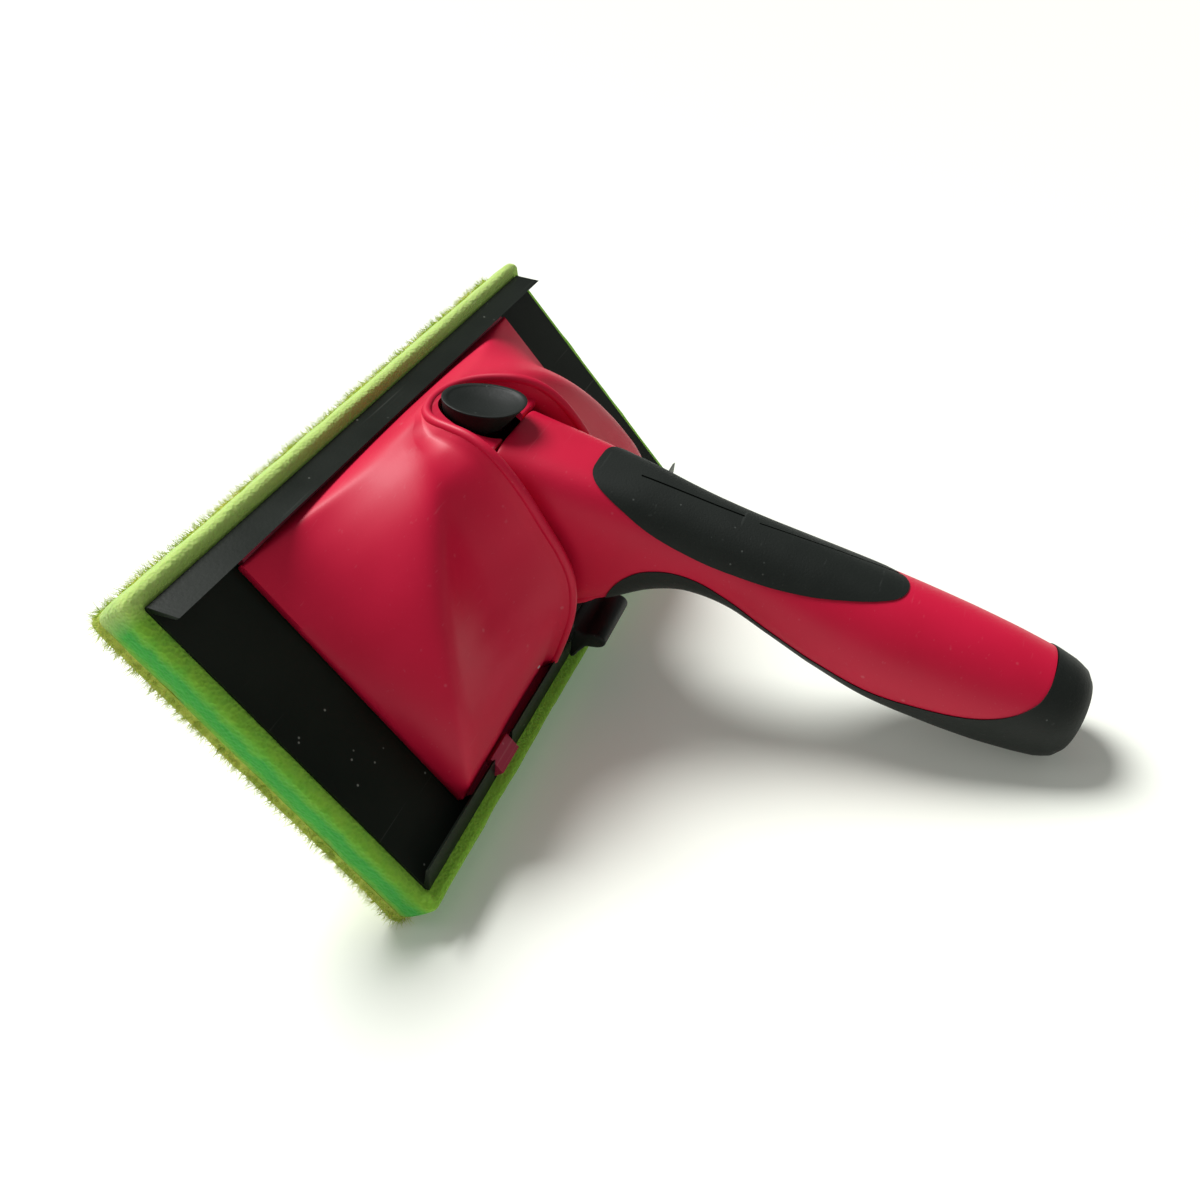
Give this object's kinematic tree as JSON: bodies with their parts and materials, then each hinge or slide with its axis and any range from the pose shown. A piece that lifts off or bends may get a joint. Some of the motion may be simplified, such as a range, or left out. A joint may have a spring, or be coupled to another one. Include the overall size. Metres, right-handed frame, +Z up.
{
  "type": "paint pad edger",
  "caption": "Wide foam-backed paint pad on a clip-in tray, with a swept cover and a lockable swivel handle that takes an extension pole.",
  "frame": {"origin": "centre of the tool's footprint box on the surface it rests on, with the pad's lower long edge and the handle's end touching that surface", "axes": "+X along the pad's long side, -Y towards the handle's end, +Z up from the surface it rests on"},
  "size_m": [0.234, 0.2439, 0.1147],
  "materials": {
    "tray_plastic": "satin black sheet plastic with fine scratches",
    "foam": "open-cell green foam",
    "pile": "short yellow-green fibre pile",
    "red_plastic": "crimson moulded plastic, satin with a fine grain",
    "red_base": "crimson moulded plastic, matte",
    "grip_rubber": "soft matte moulded grip",
    "button_plastic": "matte black, finely grained",
    "latch_plastic": "black moulded plastic",
    "socket_plastic": "glass-filled black plastic",
    "natural_plastic": "slippery off-white plastic",
    "steel": "zinc-plated steel",
    "spring_steel": "bright spring wire"
  },
  "bodies": {
    "head": {"pad_tray": "tray_plastic", "foam_pad": "foam", "pile_fabric": "pile", "base_plate": "red_base", "head_cover": "red_plastic", "cover_screws": "steel", "pivot_pin": "steel", "pin_clips": "spring_steel", "pivot_washers": "natural_plastic", "bolt_guide": "natural_plastic", "latch_housing": "latch_plastic", "latch_pin": "steel"},
    "handle": {"handle_body": "red_plastic", "top_grip": "grip_rubber", "under_grip": "grip_rubber", "pivot_bushes": "natural_plastic", "lock_sector": "socket_plastic", "pole_socket": "socket_plastic"},
    "button": {"lock_button": "button_plastic"},
    "bolt": {"lock_bolt": "steel", "bolt_spring": "spring_steel"},
    "lever": {"release_lever": "latch_plastic", "latch_spring": "spring_steel"}
  },
  "joints": [
    {"name": "handle_swivel", "type": "hinge", "parent": "head", "child": "handle", "pos_m": [0, 0.04313, 0.0668], "axis": [-1, 0, 0], "range_deg": [0, 30]},
    {"name": "button_press", "type": "slide", "parent": "head", "child": "button", "axis": [0, 0.3531, -0.9356], "range_m": [0, 0.003], "stiffness_N_per_m": 900, "springref_m": -0.002},
    {"name": "bolt_slide", "type": "slide", "parent": "head", "child": "bolt", "axis": [0, 0.9012, 0.4333], "range_m": [0, 0.003], "stiffness_N_per_m": 900, "springref_m": -0.002, "deforming": ["bolt_spring"]},
    {"name": "lever_pull", "type": "hinge", "parent": "head", "child": "lever", "pos_m": [0, 0.04277, 0.02934], "axis": [-1, 0, 0], "range_deg": [0, 12], "stiffness_Nm_per_rad": 0.35, "springref_deg": -5.73, "deforming": ["latch_spring"]}
  ],
  "couplings": [
    {"joint": "bolt_slide", "follows": "button_press", "ratio": 1}
  ]
}
